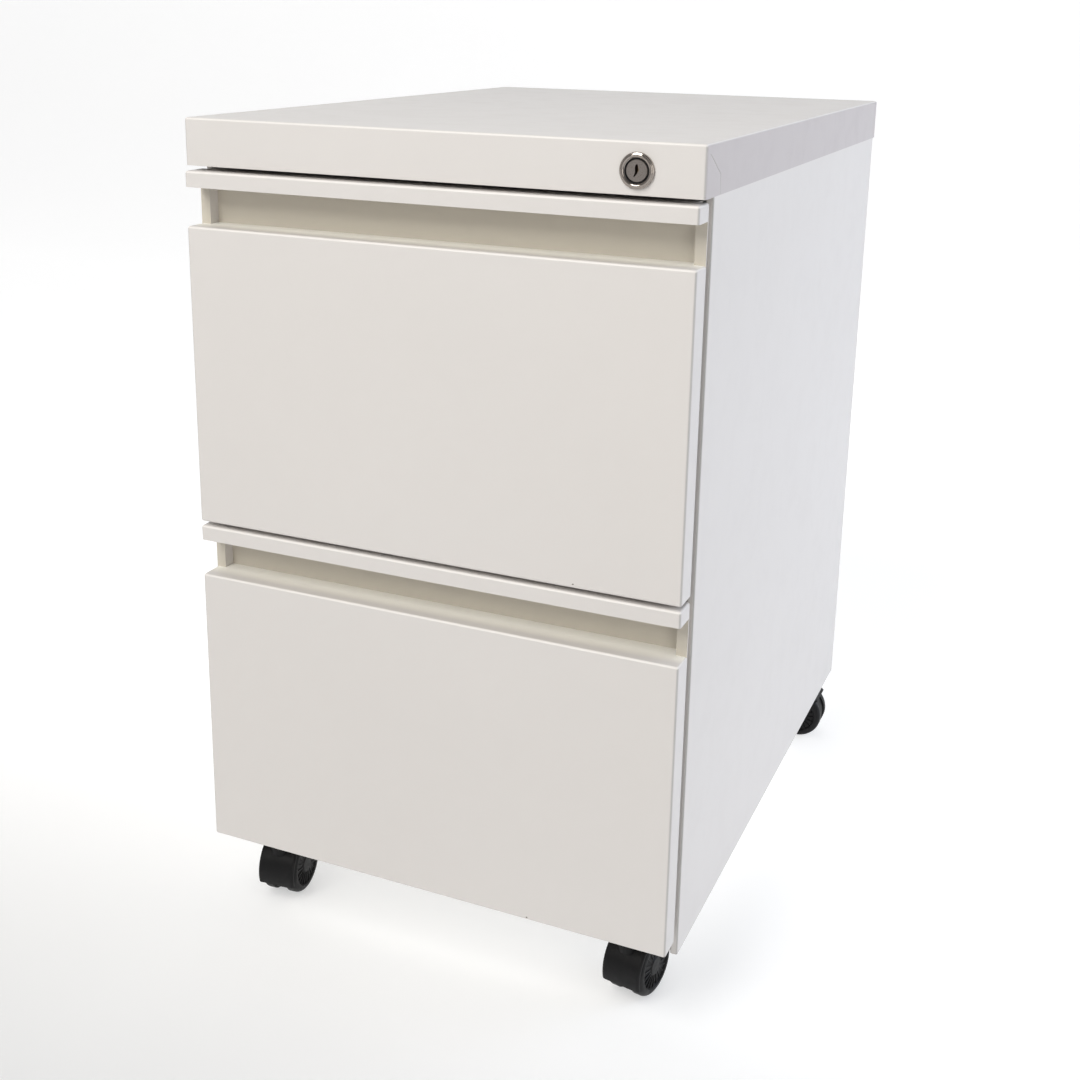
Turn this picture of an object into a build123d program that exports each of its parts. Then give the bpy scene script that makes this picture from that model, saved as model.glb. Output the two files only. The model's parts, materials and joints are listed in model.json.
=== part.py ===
from build123d import *
import math
import os

# Two-drawer steel filing cabinet on twin-wheel casters, in millimetres.
# +X is the cabinet's right seen from the front, -Y its front, +Z up.
# The origin is on the floor under the middle of the cabinet.

# ---- driving dimensions -------------------------------------------------
WIDTH = 400.0
HEIGHT = 665.0
CAP_DEPTH = 565.0
CAP_HEIGHT = 35.0
SHEET = 1.0
FRONT_PROUD = 5.0
BEZEL_PROUD = 2.0
# the seam's corners, as (distance behind the cap's front, distance below its top)
CAP_SEAM = [(7.0, 6.5), (31.0, 21.0), (33.0, 40.0)]
SEAM_WIDTH = 0.55
SEAM_DEPTH = 0.5

CAP_FRONT = -(CAP_DEPTH + FRONT_PROUD) / 2 + FRONT_PROUD
CAP_REAR = CAP_FRONT + CAP_DEPTH
CAP_BOTTOM = HEIGHT - CAP_HEIGHT

CASE_FRONT = -257.0
CASE_REAR = CAP_REAR - SHEET - 0.2
CASE_BOTTOM = 60.0
CASE_TOP = HEIGHT - SHEET - 1.2
SIDE_X = WIDTH / 2 - SHEET - 0.2
FLANGE_INNER_X = 193.0

FRONT_X = 198.0
FRONT_FACE = CAP_FRONT - FRONT_PROUD
FRONT_THICK = 20.0
FRONT_HEIGHT = 274.0
BAR_HEIGHT = 12.0
LEDGE_DROP = 41.0
GROOVE_DEPTH = 30.0
GROOVE_X = 191.0
EDGE_R = 2.0
CORNER_R = 1.6

TRAY_X = 172.0
TRAY_REAR = 245.0
TRAY_HEIGHT = 220.0
TRAY_RISE = 8.0
RAIL_X = 165.0
RAIL_TOP = 243.0

SLIDE_THICK = 12.7
SLIDE_HALF = 22.5
SLIDE_RISE = 60.0
SLIDE_FRONT = -246.0
SLIDE_LENGTH = 500.0
INNER_LENGTH = 480.0
STEEL = 1.2
BALL_R = 1.5
CAGE_START = -110.0
CAGE_LENGTH = 180.0
BALLS = 9

LOCK_X = 153.5
LOCK_Z = 646.0
BEZEL_R = 12.0
PLUG_R = 7.5
# the keyway's outline about the plug's axis, kinked to the left at its foot
KEYWAY = [(-0.6, 4.2), (0.6, 4.0), (1.5, 0.4), (0.4, -1.8), (-1.6, -4.2), (-2.1, -3.8), (-1.1, -1.0), (-1.2, 2.4)]
PLUG_REAR = -256.0
RUNNING = 0.05
PIN_ARM = 8.0
PIN_REST = -45.0
LOCK_BAR_Y = -250.0
LOCK_BAR_THICK = 1.6
LOCK_BAR_LOW = 180.0
LOCK_BAR_TOP = 646.0
GUIDES = (540.0, 258.0)

CASTER_FRONT_Y = -244.5
CASTER_REAR_Y = 247.0
TRAIL = 17.5
WHEEL_R = 25.0
WHEEL_IN = 6.0
WHEEL_OUT = 16.5
HOOD_R = 28.8
STEM_R = 3.5

DRAWERS = {"upper": 352.5, "lower": 75.0}
SIDES = {"left": -1, "right": 1}
# each caster's stem and the way its wheels have swung, in degrees from trailing straight back
CASTERS = {
    "front_left": (-161.5, CASTER_FRONT_Y, 6.0),
    "front_right": (155.5, CASTER_FRONT_Y, -10.0),
    "rear_left": (-157.0, CASTER_REAR_Y, -150.0),
    "rear_right": (157.0, CASTER_REAR_Y, -90.0),
}

os.makedirs("parts", exist_ok=True)


def save(part, name):
    part.label = name
    export_step(part, f"parts/{name}.step")


def block(x, y, z, mode=Mode.ADD):
    """A box between two corners, each argument a (low, high) pair."""
    middle = [(low + high) / 2 for low, high in (x, y, z)]
    with Locations(tuple(middle)):
        Box(x[1] - x[0], y[1] - y[0], z[1] - z[0], mode=mode)


def bent_sheet(points, radius, thick):
    """A folded sheet's section, traced about its middle line."""
    with BuildLine():
        line = FilletPolyline(*points, radius=radius)
    trace(line, line_width=thick)


def mirrored(part, sign):
    """The right-hand piece as it is, or its left-hand twin."""
    return part if sign > 0 else mirror(part, about=Plane.YZ)


# ---- case ---------------------------------------------------------------
def top_cap():
    with BuildPart() as cap:
        block((-WIDTH / 2, WIDTH / 2), (CAP_FRONT, CAP_REAR), (CAP_BOTTOM, HEIGHT))
        fillet(cap.edges().filter_by(Axis.Z), 2.2)
        fillet(cap.faces().sort_by(Axis.Z)[-1].edges(), EDGE_R)
        offset(amount=-SHEET, openings=cap.faces().sort_by(Axis.Z)[0])
        lip_x = WIDTH / 2 - SHEET - 2
        block((-lip_x, lip_x), (CAP_FRONT + 0.5, CAP_FRONT + 12), (CAP_BOTTOM, CAP_BOTTOM + SHEET))
        with BuildSketch(Plane.XZ.offset(-CAP_FRONT + 1)):
            with Locations((LOCK_X, LOCK_Z)):
                Circle(9.7)
        extrude(amount=-6, mode=Mode.SUBTRACT)
        # open seam where the front fold laps onto each side
        for start in (-WIDTH / 2 - 1, WIDTH / 2 - SEAM_DEPTH):
            with BuildSketch(Plane.YZ.offset(start)):
                with BuildLine():
                    seam = Polyline(*[(CAP_FRONT + y, HEIGHT - drop) for y, drop in CAP_SEAM])
                trace(seam, line_width=SEAM_WIDTH)
            extrude(amount=1 + SEAM_DEPTH, mode=Mode.SUBTRACT)
    save(cap.part, "top_cap")


def side_panels():
    middle = SIDE_X - SHEET / 2
    path = [
        (FLANGE_INNER_X + SHEET / 2, CASE_FRONT + 9),
        (FLANGE_INNER_X + SHEET / 2, CASE_FRONT + SHEET / 2),
        (middle, CASE_FRONT + SHEET / 2),
        (middle, CASE_REAR - SHEET / 2),
        (middle - 12, CASE_REAR - SHEET / 2),
    ]
    with BuildPart() as panel:
        with BuildSketch(Plane.XY.offset(CASE_BOTTOM)):
            bent_sheet(path, 1.1, SHEET)
        extrude(amount=CASE_TOP - CASE_BOTTOM)
        foot_x = (SIDE_X - 13, SIDE_X - SHEET / 2)
        block(foot_x, (CASE_FRONT + 14, CASE_REAR - 3), (CASE_BOTTOM, CASE_BOTTOM + SHEET))
    for side, sign in SIDES.items():
        save(mirrored(panel.part, sign), f"side_panel_{side}")


def back_panel():
    outer = CASE_REAR - SHEET - 0.2
    with BuildPart() as panel:
        block((-SIDE_X + 1.2, SIDE_X - 1.2), (outer - SHEET, outer), (CASE_BOTTOM + 1.2, CASE_TOP - 0.2))
        with BuildSketch(Plane.XZ.offset(-outer)):
            with Locations((0, 430), (0, 190)):
                RectangleRounded(300, 170, 14)
                RectangleRounded(284, 154, 8, mode=Mode.SUBTRACT)
        extrude(amount=-1.0)
    save(panel.part, "back_panel")


def bottom_panel():
    floor_x = SIDE_X - 1.2
    rear = CASE_REAR - 2 * SHEET - 0.6
    low = CASE_BOTTOM + SHEET
    with BuildPart() as panel:
        block((-floor_x, floor_x), (CASE_FRONT + 13, rear), (low, low + SHEET))
        tongue_x = FLANGE_INNER_X - 0.4
        block((-tongue_x, tongue_x), (CASE_FRONT + 1.2, CASE_FRONT + 13), (low, low + SHEET))
        with BuildSketch(Plane.XY.offset(low)):
            for x, y, _ in CASTERS.values():
                with Locations((x, y)):
                    Circle(5.3)
        extrude(amount=SHEET, mode=Mode.SUBTRACT)
        for sign in (-1, 1):
            edge = sorted((sign * floor_x, sign * (floor_x - SHEET)))
            block(edge, (CASE_FRONT + 14, rear), (low, low + 15))
    save(panel.part, "bottom_panel")


def front_top_rail():
    rail_front, rail_rear = CAP_FRONT + 3.5, LOCK_BAR_Y - 2
    low, high = CAP_BOTTOM + 2, CASE_TOP - 0.8
    half = SHEET / 2
    path = [
        (rail_rear, low + half),
        (rail_front + half, low + half),
        (rail_front + half, high - half),
        (rail_rear, high - half),
    ]
    with BuildPart() as rail:
        with BuildSketch(Plane.YZ):
            bent_sheet(path, 1.1, SHEET)
        extrude(amount=FLANGE_INNER_X - 0.4, both=True)
        with BuildSketch(Plane.XZ.offset(-rail_front + 1)):
            with Locations((LOCK_X, LOCK_Z)):
                Circle(9.7)
        extrude(amount=-3, mode=Mode.SUBTRACT)
    save(rail.part, "front_top_rail")


def front_bottom_rail():
    half = SHEET / 2
    low = CASE_BOTTOM + 2 * SHEET + 0.2
    path = [
        (CASE_FRONT + 24, low + half),
        (CASE_FRONT + half, low + half),
        (CASE_FRONT + half, low + 15),
        (CASE_FRONT + 18, low + 15),
    ]
    with BuildPart() as rail:
        with BuildSketch(Plane.YZ):
            bent_sheet(path, 1.1, SHEET)
        extrude(amount=FLANGE_INNER_X - 0.4, both=True)
        with BuildSketch(Plane.XY.offset(low - 1)):
            for caster in ("front_left", "front_right"):
                with Locations(CASTERS[caster][:2]):
                    Circle(10)
        extrude(amount=6, mode=Mode.SUBTRACT)
    save(rail.part, "front_bottom_rail")


def uprights():
    inner = TRAY_X + SLIDE_THICK
    outer = SIDE_X - SHEET - 1.4
    half = STEEL / 2
    with BuildPart() as columns:
        for front in (-247.6, 205.0):
            path = [
                (outer, front + half),
                (inner + half, front + half),
                (inner + half, front + 30 - half),
                (outer, front + 30 - half),
            ]
            with BuildSketch(Plane.XY.offset(CASE_BOTTOM + 18)):
                bent_sheet(path, 1.3, STEEL)
            extrude(amount=CASE_TOP - 6 - CASE_BOTTOM - 18)
    for side, sign in SIDES.items():
        save(mirrored(columns.part, sign), f"uprights_{side}")


def counterweight():
    with BuildPart() as weight:
        block((-135, 135), (150, 268), (CASE_BOTTOM + 2.2, CASE_BOTTOM + 16))
        fillet(weight.edges().filter_by(Axis.Z), 5)
        chamfer(weight.faces().sort_by(Axis.Z)[-1].edges(), 1)
    save(weight.part, "counterweight")


def case_rivets():
    spots = [(x, z) for x in (-SIDE_X + 7, SIDE_X - 7) for z in (90, 225, 360, 495, 612)]
    with BuildPart() as rivets:
        with BuildSketch(Plane.XZ.offset(-CASE_REAR)):
            with Locations(*spots):
                Circle(3.2)
        extrude(amount=-1.1)
        chamfer(rivets.faces().filter_by(Axis.Y).group_by(Axis.Y)[-1].edges(), 0.6)
    save(rivets.part, "case_rivets")


# ---- lock ---------------------------------------------------------------
def lock_cylinder():
    behind = PLUG_REAR - 6
    with BuildPart() as housing:
        with BuildSketch(Plane.XZ.offset(-CAP_FRONT + BEZEL_PROUD)):
            with Locations((LOCK_X, LOCK_Z)):
                Circle(BEZEL_R)
        extrude(amount=-BEZEL_PROUD)
        fillet(housing.faces().sort_by(Axis.Y)[0].edges(), 1.1)
        with BuildSketch(Plane.XZ.offset(-CAP_FRONT)):
            with Locations((LOCK_X, LOCK_Z)):
                Circle(9.5)
        extrude(amount=-(behind - CAP_FRONT))
        with BuildSketch(Plane.XZ.offset(-CAP_FRONT + BEZEL_PROUD)):
            with Locations((LOCK_X, LOCK_Z)):
                Circle(PLUG_R + RUNNING)
        extrude(amount=-40, mode=Mode.SUBTRACT)
        mouth = housing.faces().sort_by(Axis.Y)[0].edges().sort_by(SortBy.RADIUS)[0]
        chamfer(mouth, 1.5)
    save(housing.part, "lock_housing")

    with BuildPart() as nut:
        with BuildSketch(Plane.XZ.offset(-CAP_FRONT - 4.7)):
            with Locations((LOCK_X, LOCK_Z)):
                RegularPolygon(13, 6)
                Circle(9.55, mode=Mode.SUBTRACT)
        extrude(amount=-4)
    save(nut.part, "lock_nut")

    with BuildPart() as plug:
        with BuildSketch(Plane.XZ.offset(-CAP_FRONT + 1.4)):
            with Locations((LOCK_X, LOCK_Z)):
                Circle(PLUG_R)
        extrude(amount=-(PLUG_REAR - CAP_FRONT + 1.4))
        chamfer(plug.faces().sort_by(Axis.Y)[0].edges(), 0.4)
        with BuildSketch(Plane.XZ.offset(-CAP_FRONT + 1.5)):
            with Locations((LOCK_X, LOCK_Z)):
                Polygon(*KEYWAY, align=None)
        extrude(amount=-8, mode=Mode.SUBTRACT)
    save(plug.part, "lock_plug")


def lock_cam():
    pin_x = LOCK_X + PIN_ARM * math.cos(math.radians(PIN_REST))
    pin_z = LOCK_Z + PIN_ARM * math.sin(math.radians(PIN_REST))
    plate_y = PLUG_REAR
    with BuildPart() as cam:
        with BuildSketch(Plane.XZ.offset(-plate_y)):
            with Locations((LOCK_X, LOCK_Z)):
                Circle(7)
            with Locations((pin_x, pin_z)):
                Circle(4)
            with Locations(Location(((LOCK_X + pin_x) / 2, (LOCK_Z + pin_z) / 2), PIN_REST)):
                Rectangle(PIN_ARM, 8)
        extrude(amount=-2)
        with BuildSketch(Plane.XZ.offset(-plate_y - 2)):
            with Locations((pin_x, pin_z)):
                Circle(2)
        extrude(amount=-7)
        with BuildSketch(Plane.XZ.offset(-plate_y - 2)):
            with Locations((LOCK_X, LOCK_Z)):
                RegularPolygon(4, 6)
        extrude(amount=-2)
    save(cam.part, "lock_cam")


def lock_bar():
    pin_z = LOCK_Z + PIN_ARM * math.sin(math.radians(PIN_REST))
    with BuildPart() as bar:
        with BuildSketch(Plane.XZ.offset(-LOCK_BAR_Y)) as outline:
            with Locations((188.5, (LOCK_BAR_LOW + LOCK_BAR_TOP) / 2)):
                Rectangle(6, LOCK_BAR_TOP - LOCK_BAR_LOW)
            with Locations((172.5, LOCK_BAR_TOP - 6.5)):
                Rectangle(38, 13)
            for low in DRAWERS.values():
                with Locations((180.5, low + 114)):
                    Rectangle(13, 12)
            fillet(outline.vertices(), 0.8)
            with Locations((LOCK_X + 6.83, pin_z)):
                SlotOverall(8.4, 5.2, mode=Mode.SUBTRACT)
        extrude(amount=-LOCK_BAR_THICK)
    save(bar.part, "lock_bar")

    with BuildPart() as guides:
        for z in GUIDES:
            block((184.9, 192.3), (-251.2, -247.7), (z, z + 16))
            block((185.2, 191.8), (-250.4, -248.0), (z - 1, z + 17), Mode.SUBTRACT)
    save(guides.part, "lock_bar_guides")


# ---- drawers ------------------------------------------------------------
def drawer_front(name, low):
    top = low + FRONT_HEIGHT
    ledge = top - LEDGE_DROP
    bar_low = top - BAR_HEIGHT
    rear = FRONT_FACE + FRONT_THICK
    groove_rear = FRONT_FACE + GROOVE_DEPTH
    with BuildPart() as front:
        # main face with its returned edges
        block((-FRONT_X, FRONT_X), (FRONT_FACE, rear), (low, ledge))
        fillet(front.edges().filter_by(Axis.Y), CORNER_R)
        fillet(front.faces().sort_by(Axis.Y)[0].edges(), EDGE_R)
        offset(amount=-SHEET, openings=front.faces().sort_by(Axis.Y)[-1])
        # handle bar along the top, open below and behind
        block((-FRONT_X, FRONT_X), (FRONT_FACE, rear), (bar_low, top))
        bar_faces = front.faces(Select.LAST)
        bar_edges = bar_faces.sort_by(Axis.Z)[-1].edges() + bar_faces.sort_by(Axis.Y)[0].edges()
        outside = bar_edges.filter_by(lambda e: e.center().Z > bar_low + 1 and e.center().Y < rear - 1)
        fillet(outside, EDGE_R)
        inner_x = FRONT_X - SHEET
        block((-inner_x, inner_x), (FRONT_FACE + SHEET, rear - SHEET), (bar_low, top - SHEET), Mode.SUBTRACT)
        block((-inner_x, inner_x), (FRONT_FACE + SHEET - 0.2, FRONT_FACE + 3), (bar_low, bar_low + 7))
        # back wall, floor and ends of the finger groove
        block((-GROOVE_X, GROOVE_X), (rear - 0.5, groove_rear), (ledge - SHEET, ledge))
        block((-GROOVE_X, GROOVE_X), (rear - 1.5, groove_rear), (top - SHEET, top))
        block((-GROOVE_X, GROOVE_X), (groove_rear - SHEET, groove_rear), (ledge - SHEET, top))
        pocket_x = GROOVE_X - SHEET
        pocket_y = (rear - 1.5, groove_rear - SHEET)
        block((-pocket_x, pocket_x), pocket_y, (ledge, top - SHEET), Mode.SUBTRACT)
        for sign in (-1, 1):
            end = sorted((sign * GROOVE_X, sign * (GROOVE_X - SHEET)))
            strip = sorted((sign * (GROOVE_X - SHEET), sign * FRONT_X))
            block(end, (rear - SHEET, groove_rear), (ledge - SHEET, top))
            block(strip, (rear - SHEET, rear), (ledge - SHEET, top - SHEET))
    save(front.part, f"{name}_drawer_front")

    with BuildPart() as liner:
        block((-195.6, 195.6), (rear - 2.4, rear - 1.4), (low + 1.4, ledge - SHEET - 0.4))
        with BuildSketch(Plane.XZ.offset(-rear + 1.4)):
            for x in (-120, 0, 120):
                with Locations((x, low + 116)):
                    SlotOverall(150, 12, rotation=90)
        extrude(amount=-1.2)
    save(liner.part, f"{name}_front_liner")


def drawer_tray(name, low):
    base = low + TRAY_RISE
    top = base + TRAY_HEIGHT
    front = FRONT_FACE + FRONT_THICK + 0.2
    with BuildPart() as tray:
        block((-TRAY_X, TRAY_X), (front, TRAY_REAR), (base, top))
        fillet(tray.edges().group_by(Axis.Z)[0].filter_by(Axis.Y), 2)
        inner = TRAY_X - SHEET
        block((-inner, inner), (front + SHEET, TRAY_REAR + 1), (base + SHEET, top + 1), Mode.SUBTRACT)
        for sign in (-1, 1):
            hem = sorted((sign * inner, sign * (inner - 1.2)))
            block(hem, (front + SHEET, TRAY_REAR - 10.2), (top - 9, top))
        with BuildSketch(Plane.XY.offset(base + SHEET)):
            with GridLocations(1, 90, 1, 5):
                SlotOverall(260, 12)
        extrude(amount=1.2)
    save(tray.part, f"{name}_drawer_tray")

    half = SHEET / 2
    path = [
        (TRAY_REAR - 14, base + 1.2 + half),
        (TRAY_REAR - half - 0.2, base + 1.2 + half),
        (TRAY_REAR - half - 0.2, top - half),
        (TRAY_REAR - 9, top - half),
        (TRAY_REAR - 9, top - 8),
    ]
    with BuildPart() as back:
        with BuildSketch(Plane.YZ):
            bent_sheet(path, 1.1, SHEET)
        extrude(amount=TRAY_X - SHEET - 0.3, both=True)
    save(back.part, f"{name}_drawer_back")

    foot = TRAY_X - SHEET - 0.8
    path = [(foot, top - 42), (foot, top - 14), (RAIL_X, top - 4), (RAIL_X, base + RAIL_TOP)]
    with BuildPart() as rail:
        with BuildSketch(Plane.XZ.offset(249.5)):
            bent_sheet(path, 2.0, STEEL)
        extrude(amount=-(249.5 + TRAY_REAR - 12))
    both = rail.part + mirror(rail.part, about=Plane.YZ)
    save(both, f"{name}_file_rails")

    with BuildPart() as catch:
        block((TRAY_X, TRAY_X + 1.5), (-247.4, -222), (low + 123, low + 138))
        block((TRAY_X, TRAY_X + 9), (-247.4, -245.4), (low + 123, low + 138))
        fillet(catch.edges().filter_by(Axis.X).group_by(Axis.Y)[-1], 4)
    save(catch.part, f"{name}_lock_catch")


# ---- telescopic slides --------------------------------------------------
def channel(web, tip, half_height, start, length, centre):
    """One slide member on the right-hand side, a channel lying on its side."""
    half = STEEL / 2
    path = [
        (TRAY_X + tip, centre - half_height + half),
        (TRAY_X + web, centre - half_height + half),
        (TRAY_X + web, centre + half_height - half),
        (TRAY_X + tip, centre + half_height - half),
    ]
    with BuildPart() as member:
        with BuildSketch(Plane.XZ.offset(-start)):
            bent_sheet(path, 1.6, STEEL)
        extrude(amount=-length)
    return member.part


def ball_cage(level, centre):
    """Two rows of balls in their flat retainers, above and below the member inside them."""
    pitch = (CAGE_LENGTH - 12) / (BALLS - 1)
    middle = TRAY_X + 5.4
    with BuildPart() as cage:
        for height in (centre - level, centre + level):
            strip_y = (CAGE_START, CAGE_START + CAGE_LENGTH)
            block((middle - 1.3, middle + 1.3), strip_y, (height - 0.5, height + 0.5))
            with Locations((middle, CAGE_START + CAGE_LENGTH / 2, height)):
                with GridLocations(1, pitch, 1, BALLS):
                    Sphere(BALL_R)
    return cage.part


def slides(name, low):
    centre = low + TRAY_RISE + SLIDE_RISE
    gap = 3.5
    middle_half = SLIDE_HALF - STEEL - gap
    inner_half = middle_half - STEEL - gap
    web = SLIDE_THICK - STEEL / 2
    outer = channel(web, 1.6, SLIDE_HALF, SLIDE_FRONT, SLIDE_LENGTH, centre)
    middle = channel(web - 2.6, 1.9, middle_half, SLIDE_FRONT, SLIDE_LENGTH, centre)
    inner = channel(STEEL / 2, 7.6, inner_half, SLIDE_FRONT, INNER_LENGTH, centre)
    outer_cage = ball_cage(SLIDE_HALF - STEEL - gap / 2, centre)
    inner_cage = ball_cage(middle_half - STEEL - gap / 2, centre)
    for side, sign in SIDES.items():
        save(mirrored(outer, sign), f"{name}_slide_outer_{side}")
        save(mirrored(middle, sign), f"{name}_slide_middle_{side}")
        save(mirrored(inner, sign), f"{name}_slide_inner_{side}")
    save(outer_cage + mirror(outer_cage, about=Plane.YZ), f"{name}_outer_balls")
    save(inner_cage + mirror(inner_cage, about=Plane.YZ), f"{name}_inner_balls")


# ---- casters ------------------------------------------------------------
def caster_stems():
    top = CASE_BOTTOM + SHEET
    with BuildPart() as stems:
        for x, y, _ in CASTERS.values():
            with BuildSketch(Plane.XY.offset(30)):
                with Locations((x, y)):
                    Circle(STEM_R)
            extrude(amount=27)
            with BuildSketch(Plane.XY.offset(56.6)):
                with Locations((x, y)):
                    Circle(9.5)
            extrude(amount=top - 56.6)
            with BuildSketch(Plane.XY.offset(top)):
                with Locations((x, y)):
                    Circle(5)
            extrude(amount=10.5)
    save(stems.part, "caster_stems")

    with BuildPart() as nuts:
        for x, y, _ in CASTERS.values():
            with BuildSketch(Plane.XY.offset(top + SHEET)):
                with Locations((x, y)):
                    RegularPolygon(9, 6)
                    Circle(5.05, mode=Mode.SUBTRACT)
            extrude(amount=6)
    save(nuts.part, "caster_nuts")


def caster_hood():
    """The hood about its own swivel axis, its wheels trailing towards +Y."""
    with BuildPart() as hood:
        with BuildSketch(Plane.YZ) as shell:
            with Locations((TRAIL, WHEEL_R)):
                Circle(HOOD_R)
            with BuildLine():
                reach = 60
                start, end = math.radians(42), math.radians(196)
                low_edge = (TRAIL + reach * math.cos(end), WHEEL_R + reach * math.sin(end))
                high_edge = (TRAIL + reach * math.cos(start), WHEEL_R + reach * math.sin(start))
                Polyline((TRAIL, WHEEL_R), low_edge, (-reach, 90), (TRAIL, 110), high_edge, close=True)
            make_face(mode=Mode.INTERSECT)
        extrude(amount=WHEEL_OUT, both=True)
        rim = hood.edges().filter_by(GeomType.CIRCLE)
        fillet(rim.filter_by(lambda e: abs(e.center().X) > WHEEL_OUT - 0.5 or e.radius > 20), 2.2)
        with BuildSketch(Plane.XY.offset(44)):
            Circle(7.5)
        extrude(amount=12)
        for low, high in ((-30, -WHEEL_IN + 0.4), (WHEEL_IN - 0.4, 30)):
            with BuildSketch(Plane.YZ.offset(low)):
                with Locations((TRAIL, WHEEL_R)):
                    Circle(HOOD_R - 2.4)
            extrude(amount=high - low, mode=Mode.SUBTRACT)
        with BuildSketch(Plane.YZ):
            with Locations((TRAIL, WHEEL_R)):
                Circle(WHEEL_R - 1.6)
        extrude(amount=WHEEL_IN - 0.4, both=True)
        with BuildSketch(Plane.YZ):
            with Locations((TRAIL, WHEEL_R)):
                Circle(3)
        extrude(amount=13.5, both=True)
        with BuildSketch(Plane.XY.offset(29.5)):
            Circle(STEM_R + RUNNING)
        extrude(amount=40, mode=Mode.SUBTRACT)
    return hood.part


def caster_wheel():
    """The wheel on the caster's +X side, turned about its axle."""
    with BuildPart() as wheel:
        with BuildSketch(Plane.XZ.offset(-TRAIL)):
            with BuildLine():
                points = [
                    (WHEEL_IN, WHEEL_R + 3.05),
                    (WHEEL_IN, WHEEL_R + 24.4),
                    (WHEEL_IN + 0.8, WHEEL_R + WHEEL_R),
                    (WHEEL_OUT - 4.5, WHEEL_R + WHEEL_R),
                ]
                Polyline(*points)
                rim = (WHEEL_OUT, WHEEL_R + 20.5)
                shoulder = (WHEEL_OUT - 1.4, WHEEL_R + WHEEL_R - 1.5)
                ThreePointArc(points[-1], shoulder, rim)
                inside = [
                    rim,
                    (WHEEL_OUT, WHEEL_R + 19),
                    (WHEEL_OUT - 1.6, WHEEL_R + 18),
                    (WHEEL_OUT - 1.0, WHEEL_R + 8),
                    (WHEEL_OUT, WHEEL_R + 7),
                    (WHEEL_OUT, WHEEL_R),
                    (13.8, WHEEL_R),
                    (13.8, WHEEL_R + 3.05),
                    (WHEEL_IN, WHEEL_R + 3.05),
                ]
                Polyline(*inside)
            make_face()
        revolve(axis=Axis((0, TRAIL, WHEEL_R), (1, 0, 0)))
    return wheel.part


def casters():
    hood = caster_hood()
    right_wheel = caster_wheel()
    left_wheel = mirror(right_wheel, about=Plane.YZ)
    for name, (x, y, yaw) in CASTERS.items():
        place = Location((x, y, 0), (0, 0, yaw))
        save(place * hood, f"{name}_caster_hood")
        save(place * right_wheel, f"{name}_wheel_a")
        save(place * left_wheel, f"{name}_wheel_b")


top_cap()
side_panels()
back_panel()
bottom_panel()
front_top_rail()
front_bottom_rail()
uprights()
counterweight()
case_rivets()
lock_cylinder()
lock_cam()
lock_bar()
for drawer, drawer_low in DRAWERS.items():
    drawer_front(drawer, drawer_low)
    drawer_tray(drawer, drawer_low)
    slides(drawer, drawer_low)
caster_stems()
casters()
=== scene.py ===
import json
import math

import bmesh
import bpy
from mathutils import Matrix, Vector, noise


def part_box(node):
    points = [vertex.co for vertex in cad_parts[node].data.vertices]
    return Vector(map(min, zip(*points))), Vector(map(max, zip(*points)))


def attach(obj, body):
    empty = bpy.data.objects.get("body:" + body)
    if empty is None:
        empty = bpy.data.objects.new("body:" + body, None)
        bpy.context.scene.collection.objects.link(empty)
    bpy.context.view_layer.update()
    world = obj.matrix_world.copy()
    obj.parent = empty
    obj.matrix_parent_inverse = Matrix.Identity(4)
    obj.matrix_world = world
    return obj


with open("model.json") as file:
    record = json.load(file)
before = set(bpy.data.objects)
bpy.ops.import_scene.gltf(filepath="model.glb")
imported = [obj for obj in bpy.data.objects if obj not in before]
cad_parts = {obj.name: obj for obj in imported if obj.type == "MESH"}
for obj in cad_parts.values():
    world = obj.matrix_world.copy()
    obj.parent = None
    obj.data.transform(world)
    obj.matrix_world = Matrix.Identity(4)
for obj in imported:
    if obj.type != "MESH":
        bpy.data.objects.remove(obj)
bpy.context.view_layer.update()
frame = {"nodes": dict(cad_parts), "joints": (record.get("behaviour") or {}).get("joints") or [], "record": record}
MM = 0.001

# ---- camera, light and floor --------------------------------------------
CAMERA_AT = (0.4628, -1.1601, 0.7434)
CAMERA_TURN = 23.38
CAMERA_DIP = 15.30
CAMERA_ROLL = 0.94
LENS_MM = 47.83
SHIFT = (0.0075, -0.1254)

AREA_LIGHTS = {
    # name: (place, aim, size, watts, colour)
    "key_softbox": ((-0.62, -2.15, 2.45), (0.0, -0.25, 0.40), (1.2, 1.9), 64.5, (1.0, 0.985, 0.95)),
    "right_softbox": ((2.3, 0.9, 1.3), (0.2, 0.0, 0.35), (1.6, 1.6), 26.0, (0.69, 0.80, 1.0)),
    "front_fill": ((1.9, -2.1, 0.8), (0.1, -0.25, 0.35), (1.3, 1.3), 9.0, (1.0, 0.97, 0.93)),
}
WORLD_COLOUR = (1.0, 1.0, 1.0, 1.0)
# the room's glow at the horizon and overhead
WORLD_STRENGTH = (0.44, 0.10)

# the paper sweep: it lies flat from FLOOR_FRONT to FLOOR_BACK, then bends up to its full height
FLOOR_FRONT, FLOOR_BACK = -5.0, 2.2
FLOOR_BEND = 1.5
FLOOR_HEIGHT = 8.0
FLOOR_HALF_WIDTH = 8.0
# its own glow rises from faint before the cabinet to strong behind it, between the two depths
FLOOR_GLOW = (0.20, 0.65)
FLOOR_GLOW_FROM = (-0.60, 0.0)
# and rises again far in front
FAR_GLOW = (0.42, 0.10)
FAR_GLOW_FROM = (-3.4, -1.9)

# ---- paint and parts ----------------------------------------------------
SHELL_LIGHT = (0.672, 0.645, 0.624)
SHELL_DARK = (0.658, 0.631, 0.610)
# darker colour for the cap's sideways faces: a painted shade
CAP_SIDE_PAINTED_SHADE = (0.50, 0.463, 0.460)
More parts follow.
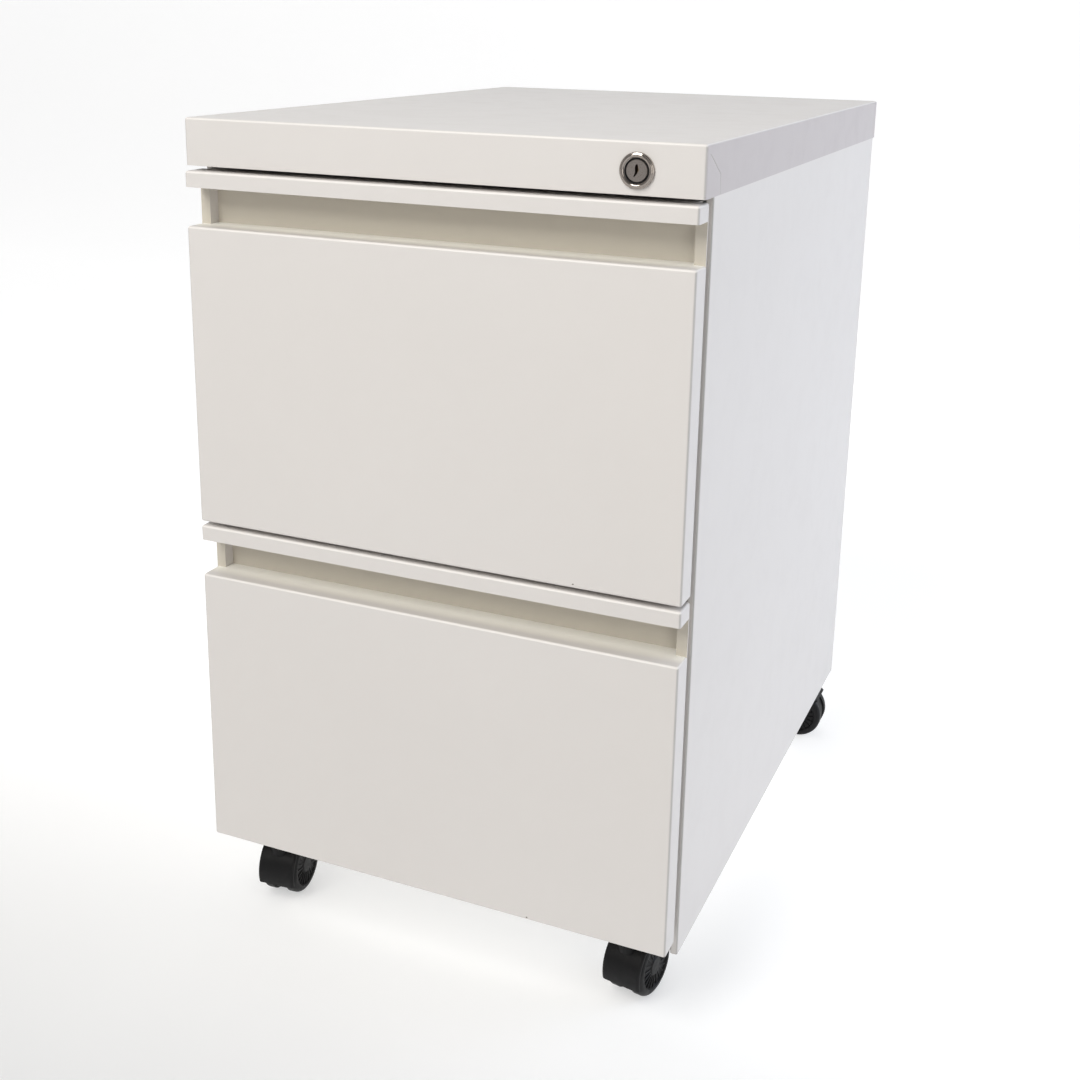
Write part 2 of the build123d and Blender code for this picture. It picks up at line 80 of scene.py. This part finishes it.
# factors on the shell colours for the painted shade over upright folds, the painted highlight along upward folds,
# and the painted shade on the groove's walls and painted light on its floor
FOLD_PAINTED_SHADE = (0.76, 0.76, 0.76)
FOLD_PAINTED_HIGHLIGHT = (1.18, 1.18, 1.18)
GROOVE_WALL_PAINTED_SHADE = (0.91, 0.88, 0.78)
GROOVE_FLOOR_PAINTED_LIGHT = (1.46, 1.50, 1.46)
# folds, as bands of the normal's sideways and upward parts, where the painted shade and the painted highlight lie
UPRIGHT_FOLD = (0.25, 0.5, 0.85, 0.97)
UPWARD_FOLD = (0.15, 0.45, 0.85, 0.98)
# where the finger groove's painted shade and painted light begin behind a front's face and below its top
GROOVE_START = 6.0 * MM
GROOVE_CEILING = 0.8 * MM
# the lengths over which that painted shade and light set in behind the start and fade at the ceiling
GROOVE_FADE = 12 * MM
CEILING_FADE = 0.5 * MM

# stretch of the drawing lines on sheet steel
LINES_ALONG_Y = (18.0, 1.0, 18.0)
LINES_ALONG_Z = (10.0, 10.0, 1.0)
RIB_COUNT = 20
# vertices of an added piece nearer than this are one
WELD = 0.01 * MM


def add_camera():
    """The camera is turned about the upright, dipped below the horizon and rolled about its line of sight."""
    data = bpy.data.cameras.new("camera")
    data.sensor_width = 36.0
    data.lens = LENS_MM
    data.shift_x, data.shift_y = SHIFT
    data.clip_end = 60
    camera = bpy.data.objects.new("camera", data)
    turn = Matrix.Rotation(math.radians(CAMERA_TURN), 4, "Z")
    dip = Matrix.Rotation(math.radians(90 - CAMERA_DIP), 4, "X")
    roll = Matrix.Rotation(math.radians(CAMERA_ROLL), 4, "Z")
    camera.matrix_world = Matrix.Translation(CAMERA_AT) @ turn @ dip @ roll
    bpy.context.collection.objects.link(camera)
    bpy.context.scene.camera = camera


def add_lights():
    for name, (place, aim, size, watts, colour) in AREA_LIGHTS.items():
        data = bpy.data.lights.new(name, "AREA")
        data.shape = "RECTANGLE"
        data.size, data.size_y = size
        data.energy = watts
        data.color = colour
        light = bpy.data.objects.new(name, data)
        light.location = place
        light.rotation_euler = (Vector(aim) - Vector(place)).to_track_quat("-Z", "Y").to_euler()
        bpy.context.collection.objects.link(light)


def add_world():
    """A white room whose glow fades from the horizon upwards."""
    world = bpy.data.worlds.new("studio")
    bpy.context.scene.world = world
    world.use_nodes = True
    tree = world.node_tree
    background = tree.nodes["Background"]
    background.inputs["Color"].default_value = WORLD_COLOUR
    place = tree.nodes.new("ShaderNodeTexCoord")
    parts = tree.nodes.new("ShaderNodeSeparateXYZ")
    rise = tree.nodes.new("ShaderNodeMapRange")
    for socket, value in zip(("From Min", "From Max", "To Min", "To Max"), (0.0, 1.0, *WORLD_STRENGTH)):
        rise.inputs[socket].default_value = value
    tree.links.new(place.outputs["Generated"], parts.inputs[0])
    tree.links.new(parts.outputs[2], rise.inputs["Value"])
    tree.links.new(rise.outputs["Result"], background.inputs["Strength"])


# ---- material helpers ---------------------------------------------------
def scaled(colour, factors):
    """A colour multiplied channel by channel and kept at or under full white."""
    return tuple(min(1.0, part * factor) for part, factor in zip(colour, factors))


class Shader:
    """A Principled material with short calls for its nodes."""

    def __init__(self, name, roughness=0.5, metallic=0.0, **sockets):
        self.material = bpy.data.materials.new(name)
        self.material.use_nodes = True
        self.tree = self.material.node_tree
        self.main = self.tree.nodes["Principled BSDF"]
        self.main.inputs["Roughness"].default_value = roughness
        self.main.inputs["Metallic"].default_value = metallic
        for socket, value in sockets.items():
            self.main.inputs[socket.replace("_", " ")].default_value = value
        self.place = self.tree.nodes.new("ShaderNodeTexCoord").outputs["Object"]

    def link(self, source, node, socket):
        self.tree.links.new(source, node.inputs[socket])

    def stretched(self, scale):
        node = self.tree.nodes.new("ShaderNodeMapping")
        node.inputs["Scale"].default_value = scale
        self.link(self.place, node, "Vector")
        return node.outputs["Vector"]

    def noise(self, scale, detail=2.0, rough=0.5, at=None):
        node = self.tree.nodes.new("ShaderNodeTexNoise")
        node.inputs["Scale"].default_value = scale
        node.inputs["Detail"].default_value = detail
        node.inputs["Roughness"].default_value = rough
        self.link(at or self.place, node, "Vector")
        return node.outputs["Fac"]

    def cells(self, scale):
        node = self.tree.nodes.new("ShaderNodeTexVoronoi")
        node.inputs["Scale"].default_value = scale
        self.link(self.place, node, "Vector")
        return node.outputs["Distance"]

    def remap(self, source, low, high, to_low, to_high):
        node = self.tree.nodes.new("ShaderNodeMapRange")
        for socket, value in (("From Min", low), ("From Max", high), ("To Min", to_low), ("To Max", to_high)):
            node.inputs[socket].default_value = value
        self.link(source, node, "Value")
        return node.outputs["Result"]

    def band(self, source, rise_from, rise_to, fall_from, fall_to):
        """1 while the source is between the two slopes, 0 outside them."""
        rise = self.remap(source, rise_from, rise_to, 0.0, 1.0)
        fall = self.remap(source, fall_from, fall_to, 1.0, 0.0)
        return self.maths("MULTIPLY", rise, fall)

    def axes(self, vector):
        """The x, y and z parts of a vector."""
        node = self.tree.nodes.new("ShaderNodeSeparateXYZ")
        self.tree.links.new(vector, node.inputs[0])
        return node.outputs[0], node.outputs[1], node.outputs[2]

    def normal_axes(self):
        return self.axes(self.tree.nodes.new("ShaderNodeNewGeometry").outputs["Normal"])

    def maths(self, kind, first, second=0.0):
        node = self.tree.nodes.new("ShaderNodeMath")
        node.operation = kind
        for index, value in enumerate((first, second)):
            if isinstance(value, (int, float)):
                node.inputs[index].default_value = value
            else:
                self.tree.links.new(value, node.inputs[index])
        return node.outputs[0]

    def mix(self, factor, first, second):
        node = self.tree.nodes.new("ShaderNodeMix")
        node.data_type = "RGBA"
        self.link(factor, node, "Factor")
        for socket, value in (("A", first), ("B", second)):
            inlet = [i for i in node.inputs if i.name == socket and i.type == "RGBA"][0]
            if isinstance(value, tuple):
                inlet.default_value = (*value, 1.0)
            else:
                self.tree.links.new(value, inlet)
        return [o for o in node.outputs if o.type == "RGBA"][0]

    def bump(self, *layers):
        """Each layer is (height, depth in metres), stacked from the coarsest."""
        normal = None
        for height, depth in layers:
            node = self.tree.nodes.new("ShaderNodeBump")
            node.inputs["Strength"].default_value = 1.0
            node.inputs["Distance"].default_value = depth
            self.link(height, node, "Height")
            if normal:
                self.link(normal, node, "Normal")
            normal = node.outputs["Normal"]
        self.link(normal, self.main, "Normal")

    def colour(self, source):
        self.link(source, self.main, "Base Color")

    def roughness(self, source):
        self.link(source, self.main, "Roughness")


def powder_coat(name, light, dark, rough=0.42, painted_side_shade=None, groove=None):
    """Sprayed and baked paint: a fine orange peel, faint clouding and a few rubbed patches.

    It carries a painted highlight along the upward folds and a painted shade over the upright ones. Faces that
    look sideways can carry a painted shade. A groove is given by the depth where it starts and the height of its
    ceiling;
    in there the walls carry a warmer painted shade and the floor a painted light.
    """
    s = Shader(name, Specular_IOR_Level=0.45)
    cloud = s.remap(s.noise(5.0, 3.0), 0.35, 0.65, 0.0, 1.0)
    grain = s.remap(s.noise(2600.0, 1.0), 0.3, 0.7, 0.0, 1.0)
    tone = s.mix(s.maths("MULTIPLY", s.maths("ADD", cloud, grain), 0.5), dark, light)
    normal_x, _, normal_z = s.normal_axes()
    sideways = s.maths("ABSOLUTE", normal_x)
    # painted shade over the upright folds
    tone = s.mix(s.band(sideways, *UPRIGHT_FOLD), tone, scaled(dark, FOLD_PAINTED_SHADE))
    # painted highlight along the upward folds
    tone = s.mix(s.band(normal_z, *UPWARD_FOLD), tone, scaled(light, FOLD_PAINTED_HIGHLIGHT))
    if groove:
        start, ceiling = groove
        _, depth, height = s.axes(s.place)
        below = s.remap(height, ceiling, ceiling + CEILING_FADE, 1.0, 0.0)
        inside = s.maths("MULTIPLY", s.remap(depth, start, start + GROOVE_FADE, 0.0, 1.0), below)
        facing = s.remap(sideways, 0.3, 0.7, 1.0, 0.0)
        # painted shade, darker and warmer, on the groove's walls
        tone = s.mix(s.maths("MULTIPLY", inside, facing), tone, scaled(dark, GROOVE_WALL_PAINTED_SHADE))
        floor = s.remap(normal_z, 0.8, 0.98, 0.0, 1.0)
        # painted light on the groove's floor
        tone = s.mix(s.maths("MULTIPLY", inside, floor), tone, scaled(light, GROOVE_FLOOR_PAINTED_LIGHT))
    if painted_side_shade:
        # painted shade on the sideways faces
        tone = s.mix(s.remap(sideways, 0.7, 0.98, 0.0, 1.0), tone, painted_side_shade)
    s.colour(tone)
    rubbed = s.remap(s.noise(38.0, 4.0, 0.6), 0.45, 0.75, 0.0, 1.0)
    s.roughness(s.remap(rubbed, 0.0, 1.0, rough, rough + 0.09))
    s.bump((s.noise(6.0, 1.0), 0.25 * MM), (s.noise(900.0, 2.0), 0.04 * MM))
    return s.material


def rolled_steel(name, light, dark, rough, along):
    """Zinc-plated strip with drawing lines along its length and cloudy passivation."""
    s = Shader(name, metallic=1.0)
    lines = s.noise(240.0, 3.0, 0.6, s.stretched(along))
    spangle = s.remap(s.cells(380.0), 0.0, 0.9, 0.2, 0.8)
    s.colour(s.mix(s.maths("MULTIPLY", s.maths("ADD", lines, spangle), 0.5), dark, light))
    s.roughness(s.remap(lines, 0.3, 0.7, rough, rough + 0.16))
    s.bump((lines, 0.03 * MM))
    return s.material


def bright_metal(name, colour, rough, scratched=1.0):
    """Nickel or polished steel with hairline scratches."""
    s = Shader(name, metallic=1.0)
    hair = s.noise(500.0, 4.0, 0.7, s.stretched((1.0, 1.0, 14.0)))
    wear = 0.14 * scratched
    s.colour(s.mix(hair, scaled(colour, (1 - wear, 1 - wear, 1 - wear)), colour))
    s.roughness(s.remap(hair, 0.3, 0.8, rough, rough + wear))
    s.bump((hair, 0.012 * MM * scratched))
    return s.material


def moulded_black(name, deep, pale, rough, scuff):
    """Moulded nylon: fine spark-eroded grain, with paler scuffs where it rolls."""
    s = Shader(name, Specular_IOR_Level=0.22)
    patches = s.remap(s.noise(90.0, 5.0, 0.65), 0.5, 0.78, 0.0, scuff)
    s.colour(s.mix(patches, deep, pale))
    s.roughness(s.remap(s.noise(160.0, 3.0), 0.3, 0.7, rough, rough + 0.15))
    s.bump((s.noise(1800.0, 2.0), 0.03 * MM), (s.noise(70.0, 3.0), 0.08 * MM))
    return s.material


def cast_plate(name):
    """Rough grey iron."""
    s = Shader(name)
    s.colour(s.mix(s.noise(60.0, 4.0), (0.04, 0.04, 0.042), (0.075, 0.072, 0.07)))
    s.roughness(s.remap(s.noise(200.0, 2.0), 0.3, 0.7, 0.5, 0.75))
    s.bump((s.noise(300.0, 4.0, 0.7), 0.2 * MM))
    return s.material


def chip_material(name):
    """Bare, slightly rusty metal where the paint is knocked off."""
    s = Shader(name, roughness=0.7)
    s.colour(s.mix(s.noise(1500.0, 2.0), (0.05, 0.045, 0.04), (0.16, 0.13, 0.10)))
    s.bump((s.noise(2500.0, 2.0), 0.05 * MM))
    return s.material


def floor_material():
    """White paper that glows by itself."""
    s = Shader("floor_paper", roughness=0.9, Specular_IOR_Level=0.1)
    _, depth, _ = s.axes(s.place)
    near = s.remap(depth, *FLOOR_GLOW_FROM, *FLOOR_GLOW)
    far = s.remap(depth, *FAR_GLOW_FROM, *FAR_GLOW)
    s.main.inputs["Emission Color"].default_value = (1.0, 1.0, 1.0, 1.0)
    s.link(s.maths("MAXIMUM", near, far), s.main, "Emission Strength")
    s.colour(s.mix(s.noise(3.0, 2.0), (0.55, 0.55, 0.55), (0.57, 0.57, 0.57)))
    s.bump((s.noise(400.0, 2.0), 0.02 * MM))
    return s.material


# ---- mesh helpers -------------------------------------------------------
def new_piece(name, mesh_maker, material, body, smooth=True):
    """Builds one piece, welds it, and lets it ride on a body of the CAD model."""
    data = bpy.data.meshes.new(name)
    shape = bmesh.new()
    mesh_maker(shape)
    bmesh.ops.remove_doubles(shape, verts=shape.verts, dist=WELD)
    bmesh.ops.recalc_face_normals(shape, faces=shape.faces)
    for face in shape.faces:
        face.smooth = smooth
    shape.to_mesh(data)
    shape.free()
    piece = bpy.data.objects.new(name, data)
    bpy.context.collection.objects.link(piece)
    data.materials.append(material)
    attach(piece, body)
    return piece


def in_metres(points_mm):
    return [tuple(value * MM for value in point) for point in points_mm]


def joint_place(name):
    return next(joint["pos_m"] for joint in frame["joints"] if joint["name"] == name)


def frame_from(origin, forward):
    """Places a local shape with its +Z along forward."""
    turn = Vector((0, 0, 1)).rotation_difference(Vector(forward)).to_matrix().to_4x4()
    return Matrix.Translation(origin) @ turn


def add_turned(shape, place, profile, segments=32):
    """Turns a (radius, height) outline about the local Z axis and closes it where it meets the axis."""
    rings = []
    for radius, height in profile:
        if radius == 0:
            rings.append([shape.verts.new(place @ Vector((0, 0, height)))])
            continue
        angles = [2 * math.pi * i / segments for i in range(segments)]
        ring = [Vector((radius * math.cos(a), radius * math.sin(a), height)) for a in angles]
        rings.append([shape.verts.new(place @ point) for point in ring])
    for low, high in zip(rings, rings[1:]):
        for i in range(segments):
            j = (i + 1) % segments
            corners = [low[i % len(low)], low[j % len(low)], high[j % len(high)], high[i % len(high)]]
            shape.faces.new(list(dict.fromkeys(corners)))


def add_rib(shape, place, reach, half_widths, heights):
    """A radial rib with tapered sides and a chamfered crest that drops at both ends.

    reach is its inner and outer radius; half_widths and heights are those of its foot and its crest.
    """
    inner, outer = reach
    foot_half, crest_half = half_widths
    foot, top = heights
    end_run, end_lift, chamfer = 1.2 * MM, 0.55, 0.2 * MM
    stations = ((inner, end_lift), (inner + end_run, 1.0), (outer - end_run, 1.0), (outer, end_lift))
    sections = []
    for radius, lift in stations:
        crest = foot + (top - foot) * lift
        outline = [
            (-foot_half, foot),
            (-crest_half, crest - chamfer),
            (-crest_half / 2, crest),
            (crest_half / 2, crest),
            (crest_half, crest - chamfer),
            (foot_half, foot),
        ]
        spots = [place @ Vector((radius, across, height)) for across, height in outline]
        sections.append([shape.verts.new(spot) for spot in spots])
    add_skin(shape, sections)


def add_skin(shape, sections):
    """Joins rings of equal length into one closed skin."""
    count = len(sections[0])
    for low, high in zip(sections, sections[1:]):
        for i in range(count):
            j = (i + 1) % count
            shape.faces.new((low[i], low[j], high[j], high[i]))
    shape.faces.new(sections[0])
    shape.faces.new(list(reversed(sections[-1])))


# ---- pieces added to the CAD model --------------------------------------
def wheel_ribs(material):
    """Radial ribs on the outer face of each caster wheel."""
    reach = (7.6 * MM, 18.4 * MM)
    half_widths = (0.75 * MM, 0.45 * MM)
    heights = (14.6 * MM, 16.1 * MM)
    for joint in frame["joints"]:
        if "_roll_" not in joint["name"]:
            continue
        outward = Vector(joint["axis"]) * (1 if joint["name"].endswith("a") else -1)
        centre = Vector(joint["pos_m"])

        def make(shape):
            for i in range(RIB_COUNT):
                place = frame_from(centre, outward) @ Matrix.Rotation(2 * math.pi * i / RIB_COUNT, 4, "Z")
                add_rib(shape, place, reach, half_widths, heights)

        body = joint["child"]
        new_piece(f"{body}_ribs", make, material, body, smooth=False)


def screw_head(shape, place):
    """A pan head with a dished drive, its flange on the sheet."""
    profile = [(0, 0.9), (0.5, 0.7), (1.0, 1.7), (2.4, 1.6), (3.2, 1.1), (3.6, 0.3), (3.6, -0.4), (0, -0.4)]
    add_turned(shape, place, in_metres(profile), segments=20)


def slide_screws(material):
    """Screws holding each drawer's slides and front to its tray."""
    sheet = 1.0 * MM
    shares_along_slide = (0.08, 0.36, 0.64, 0.92)
    front_side = 145 * MM
    front_lifts = (35 * MM, 170 * MM)
    for name in ("upper", "lower"):
        low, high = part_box(f"{name}_slide_inner_right")
        tray_low, tray_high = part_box(f"{name}_drawer_tray")
        wall = tray_high[0] - sheet
        height = (low[2] + high[2]) / 2
        run = high[1] - low[1]

        def make(shape):
            for side in (-1, 1):
                for share in shares_along_slide:
                    place = frame_from((side * wall, low[1] + run * share, height), (-side, 0, 0))
                    screw_head(shape, place)
                for lift in front_lifts:
                    spot = (side * front_side, tray_low[1] + sheet, tray_low[2] + lift)
                    screw_head(shape, frame_from(spot, (0, 1, 0)))

        new_piece(f"{name}_screws", make, material, f"{name}_drawer")


def swivel_washers(material):
    """The thin race ring between each hood's neck and the stem's collar."""
    bottom, thick, bevel = 56.05, 0.5, 0.15
    hole, edge, rim = 4.2, 8.6, 8.9
    profile = [
        (hole, bottom),
        (edge, bottom),
        (rim, bottom + bevel),
        (rim, bottom + thick - bevel),
        (edge, bottom + thick),
        (hole, bottom + thick),
        (hole, bottom),
    ]
    for joint in frame["joints"]:
        if not joint["name"].endswith("_swivel"):
            continue
        x, y, _ = joint["pos_m"]

        def make(shape):
            add_turned(shape, Matrix.Translation((x, y, 0)), in_metres(profile))

        body = joint["child"]
        new_piece(f"{body}_race", make, material, body)


def lock_shade_ring(material):
    """A dark ring lying in the bevel between the plug and the bezel: a painted shade standing in for the shadow
    there.
    """
    place = frame_from(joint_place("lock_turn"), (0, -1, 0))
    middle, half, height, rise, segments = 8.25, 0.62, 1.05, 0.42, 10
    turns = [2 * math.pi * i / segments for i in range(segments + 1)]
    profile = [(middle + half * math.cos(a), height + rise * math.sin(a)) for a in turns]

    def make(shape):
        add_turned(shape, place, in_metres(profile), segments=48)

    new_piece("lock_shade_ring", make, material, "case")


def lock_bead(material):
    """The rolled, polished rim that stands up from the bezel's face."""
    x, _, z = joint_place("lock_turn")
    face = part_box("lock_housing")[0][1]
    middle, half, rise, sunk, segments = 10.0, 1.2, 0.8, 0.2, 12
    arch = [math.pi * i / segments for i in range(segments + 1)]
    profile = [(middle + half * math.cos(a), rise * math.sin(a)) for a in arch]
    profile += [(middle - half, -sunk), (middle + half, -sunk), profile[0]]

    def make(shape):
        add_turned(shape, frame_from((x, face, z), (0, -1, 0)), in_metres(profile), segments=64)

    new_piece("lock_bead", make, material, "case")


def lock_wafers(material):
    """The spring wafers that stand into the keyway from its right side, one behind another."""
    x, y, z = joint_place("lock_turn")
    outline = [(0.55, 3.8), (1.35, 0.5), (0.4, -1.6), (0.05, -1.3), (0.55, 0.4), (0.2, 3.3)]
    first, pitch, thick, bevel, count = 0.1, 1.2, 0.45, 0.08, 5
    pinch = 0.92

    def make(shape):
        for i in range(count):
            front = y + (first + pitch * i) * MM
            sections = []
            for depth, shrink in ((0.0, pinch), (bevel, 1.0), (thick - bevel, 1.0), (thick, pinch)):
                y_here, size = front + depth * MM, shrink * MM
                spots = [(x + across * size, y_here, z + up * size) for across, up in outline]
                sections.append([shape.verts.new(spot) for spot in spots])
            add_skin(shape, sections)

    new_piece("lock_wafers", make, material, "lock_plug", smooth=False)


def paint_chips(material):
    """A small dark knock just above the bottom edge of each drawer front."""
    corners = 14
    mean_radius, ragged = 0.85, 0.45
    squash, crown_share = 0.7, 0.7
    sunk, proud = 0.05 * MM, 0.06 * MM
    for name, x, lift in (("upper", 0.118, 0.0032), ("lower", 0.087, 0.0024)):
        low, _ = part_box(f"{name}_drawer_front")
        centre = Vector((x, low[1], low[2] + lift))

        def make(shape):
            rim, crown = [], []
            for i in range(corners):
                angle = 2 * math.pi * i / corners
                radius = (mean_radius + ragged * noise.noise(Vector((i * 1.7, x * 90, 0.3)))) * MM
                offset = Vector((radius * math.cos(angle), 0, radius * squash * math.sin(angle)))
                rim.append(shape.verts.new(centre + offset + Vector((0, sunk, 0))))
                crown.append(shape.verts.new(centre + offset * crown_share + Vector((0, -proud, 0))))
            add_skin(shape, [rim, crown])

        new_piece(f"{name}_paint_chip", make, material, f"{name}_drawer")


def add_floor():
    """A pale sheet that curves up behind the cabinet."""
    steps = 16
    angles = [math.pi / 2 * i / steps for i in range(1, steps + 1)]
    profile = [(FLOOR_FRONT, 0.0), (FLOOR_BACK, 0.0)]
    profile += [(FLOOR_BACK + FLOOR_BEND * math.sin(a), FLOOR_BEND * (1 - math.cos(a))) for a in angles]
    profile.append((FLOOR_BACK + FLOOR_BEND, FLOOR_HEIGHT))
    data = bpy.data.meshes.new("floor")
    verts = [(x, y, z) for y, z in profile for x in (-FLOOR_HALF_WIDTH, FLOOR_HALF_WIDTH)]
    faces = [(2 * i, 2 * i + 1, 2 * i + 3, 2 * i + 2) for i in range(len(profile) - 1)]
    data.from_pydata(verts, [], faces)
    for face in data.polygons:
        face.use_smooth = True
    floor = bpy.data.objects.new("floor", data)
    bpy.context.collection.objects.link(floor)
    data.materials.append(floor_material())


def front_paint(name):
    """Shell paint for one drawer front, whose finger groove lies behind its face and under its top sheet."""
    low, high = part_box(name)
    # the groove's walls get a painted shade and its floor a painted light
    groove = (low[1] + GROOVE_START, high[2] - GROOVE_CEILING)
    return powder_coat(f"{name}_paint", SHELL_LIGHT, SHELL_DARK, groove=groove)


def paint_cad_nodes(materials):
    """Gives each CAD node the material under its own name, or else the one of its slot."""
    slots = {row["node"]: row["material_slot"] for row in frame["record"]["subparts"]}
    for name, obj in frame["nodes"].items():
        material = materials.get(name) or materials[slots[name]]
        obj.data.materials.clear()
        obj.data.materials.append(material)


MATERIALS = {
    "shell_paint": powder_coat("shell_paint", SHELL_LIGHT, SHELL_DARK),
    "inner_paint": powder_coat("inner_paint", (0.72, 0.71, 0.68), (0.69, 0.68, 0.655), rough=0.48),
    "slide_steel": rolled_steel("slide_steel", (0.62, 0.63, 0.65), (0.48, 0.49, 0.51), 0.26, LINES_ALONG_Y),
    "zinc_steel": rolled_steel("zinc_steel", (0.58, 0.59, 0.60), (0.44, 0.45, 0.46), 0.32, LINES_ALONG_Z),
    "ball_steel": bright_metal("ball_steel", (0.75, 0.75, 0.76), 0.12),
    # the lock's metal is darkened: a painted reflection of a dark room
    "lock_chrome": bright_metal("lock_chrome", (0.44, 0.40, 0.365), 0.08, 0.35),
    "caster_plastic": moulded_black("caster_plastic", (0.004, 0.004, 0.0045), (0.02, 0.02, 0.02), 0.38, 0.3),
    "wheel_nylon": moulded_black("wheel_nylon", (0.005, 0.005, 0.0055), (0.035, 0.034, 0.033), 0.42, 0.45),
    "counterweight_iron": cast_plate("counterweight_iron"),
    "upper_drawer_front": front_paint("upper_drawer_front"),
    "lower_drawer_front": front_paint("lower_drawer_front"),
    # the plug's face is darkened: a painted reflection of a dark room
    "lock_plug": bright_metal("lock_plug_face", (0.33, 0.295, 0.27), 0.26, 0.5),
    # the cap's sideways faces carry a painted shade
    "top_cap": powder_coat("cap_paint", SHELL_LIGHT, SHELL_DARK, painted_side_shade=CAP_SIDE_PAINTED_SHADE),
}

bpy.context.scene.view_settings.view_transform = "Standard"
add_camera()
add_lights()
add_world()
add_floor()
paint_cad_nodes(MATERIALS)
wheel_ribs(MATERIALS["wheel_nylon"])
slide_screws(MATERIALS["zinc_steel"])
swivel_washers(MATERIALS["zinc_steel"])
# a dark ring standing in for the shadow in the lock's bevel
lock_shade_ring(MATERIALS["caster_plastic"])
# the bead's metal is darkened: a painted reflection of a dark room
lock_bead(bright_metal("lock_bead_chrome", (0.41, 0.365, 0.33), 0.07, 0.3))
# the wafers' very dark brass is partly their own colour and partly a painted shade deep in the keyway
lock_wafers(bright_metal("wafer_brass_and_shade", (0.16, 0.11, 0.05), 0.35))
paint_chips(chip_material("paint_chip"))
